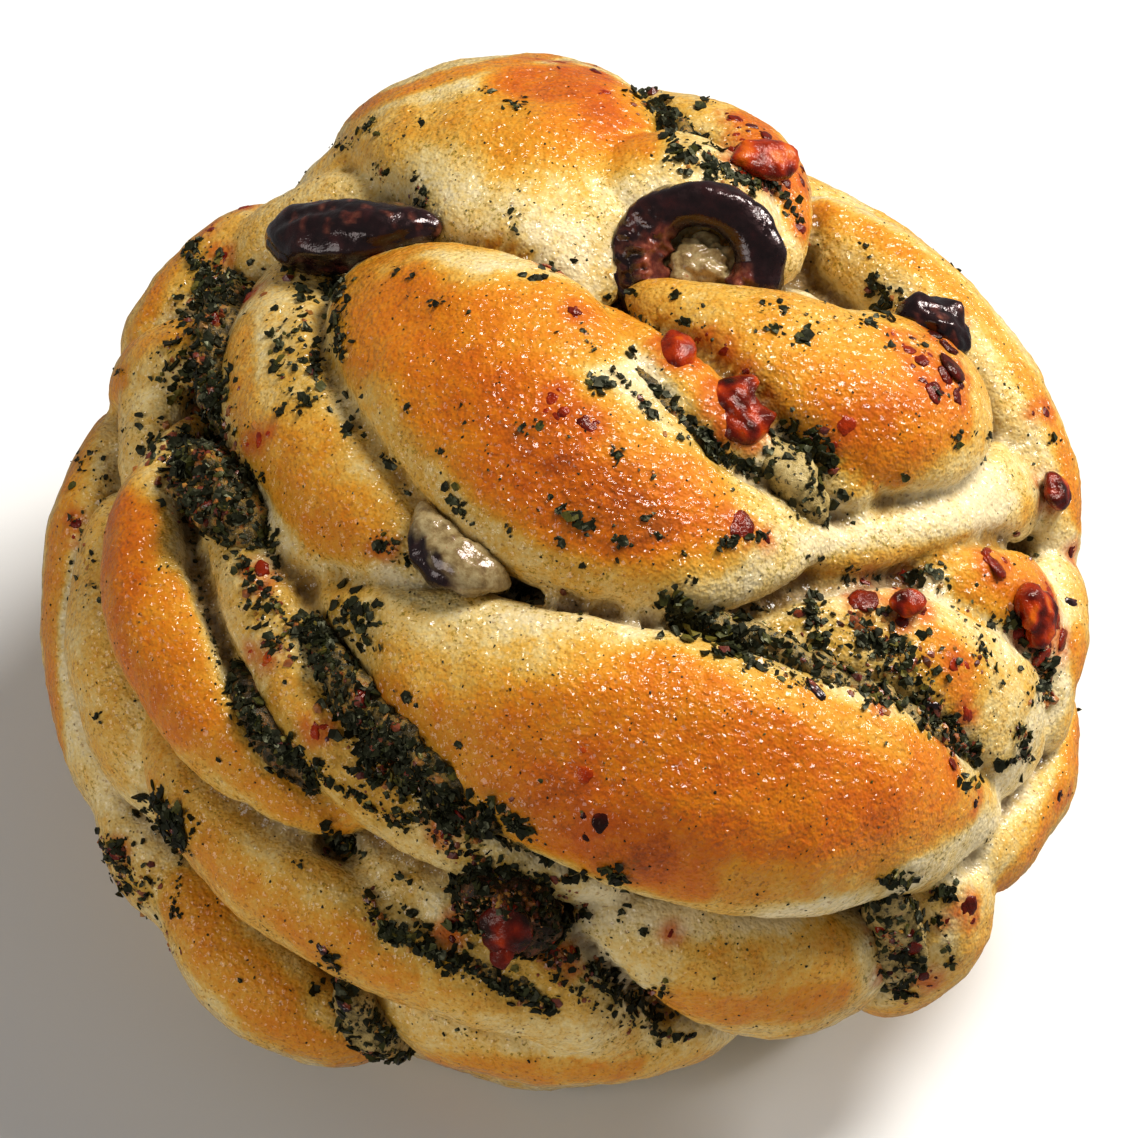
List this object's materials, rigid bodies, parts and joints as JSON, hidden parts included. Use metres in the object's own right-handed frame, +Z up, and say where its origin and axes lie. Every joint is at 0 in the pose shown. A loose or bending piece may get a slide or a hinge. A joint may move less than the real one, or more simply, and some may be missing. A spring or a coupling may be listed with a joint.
{
  "type": "olive bun",
  "caption": "Round savoury bread bun knotted from a twisted strip of soft dough, with herb filling in its creases, olive slices and dried tomato.",
  "frame": {"origin": "on the flat base the bun rests on, below the middle of its inner mound", "axes": "+Z up, -Y towards the viewer of the picture, +X to the viewer's right"},
  "size_m": [0.1067, 0.111, 0.0769],
  "materials": {
    "crust": "egg-washed golden bread crust with pale creases",
    "olive": "glossy dark olive skin and flesh",
    "herb_filling": "oily chopped dark green herbs in paste",
    "dried_tomato": "oily dried tomato"
  },
  "bodies": {
    "root": {"dough": "crust", "olive_ring": "olive", "olive_wedge": "olive", "olive_sliver": "olive", "olive_lump": "olive", "filling_left": "herb_filling", "filling_left_mass": "herb_filling", "filling_pocket": "herb_filling", "filling_front": "herb_filling", "filling_lower": "herb_filling", "filling_strip": "herb_filling", "filling_crossing": "herb_filling", "filling_right": "herb_filling", "filling_back": "herb_filling", "filling_low_right": "herb_filling", "filling_base_left": "herb_filling", "filling_bottom": "herb_filling", "filling_crown_edge": "herb_filling", "tomato_ridge_upper": "dried_tomato", "tomato_ridge_lower": "dried_tomato", "tomato_rim": "dried_tomato", "tomato_edge": "dried_tomato", "tomato_crust": "dried_tomato", "tomato_lower": "dried_tomato", "tomato_right": "dried_tomato"}
  },
  "joints": []
}
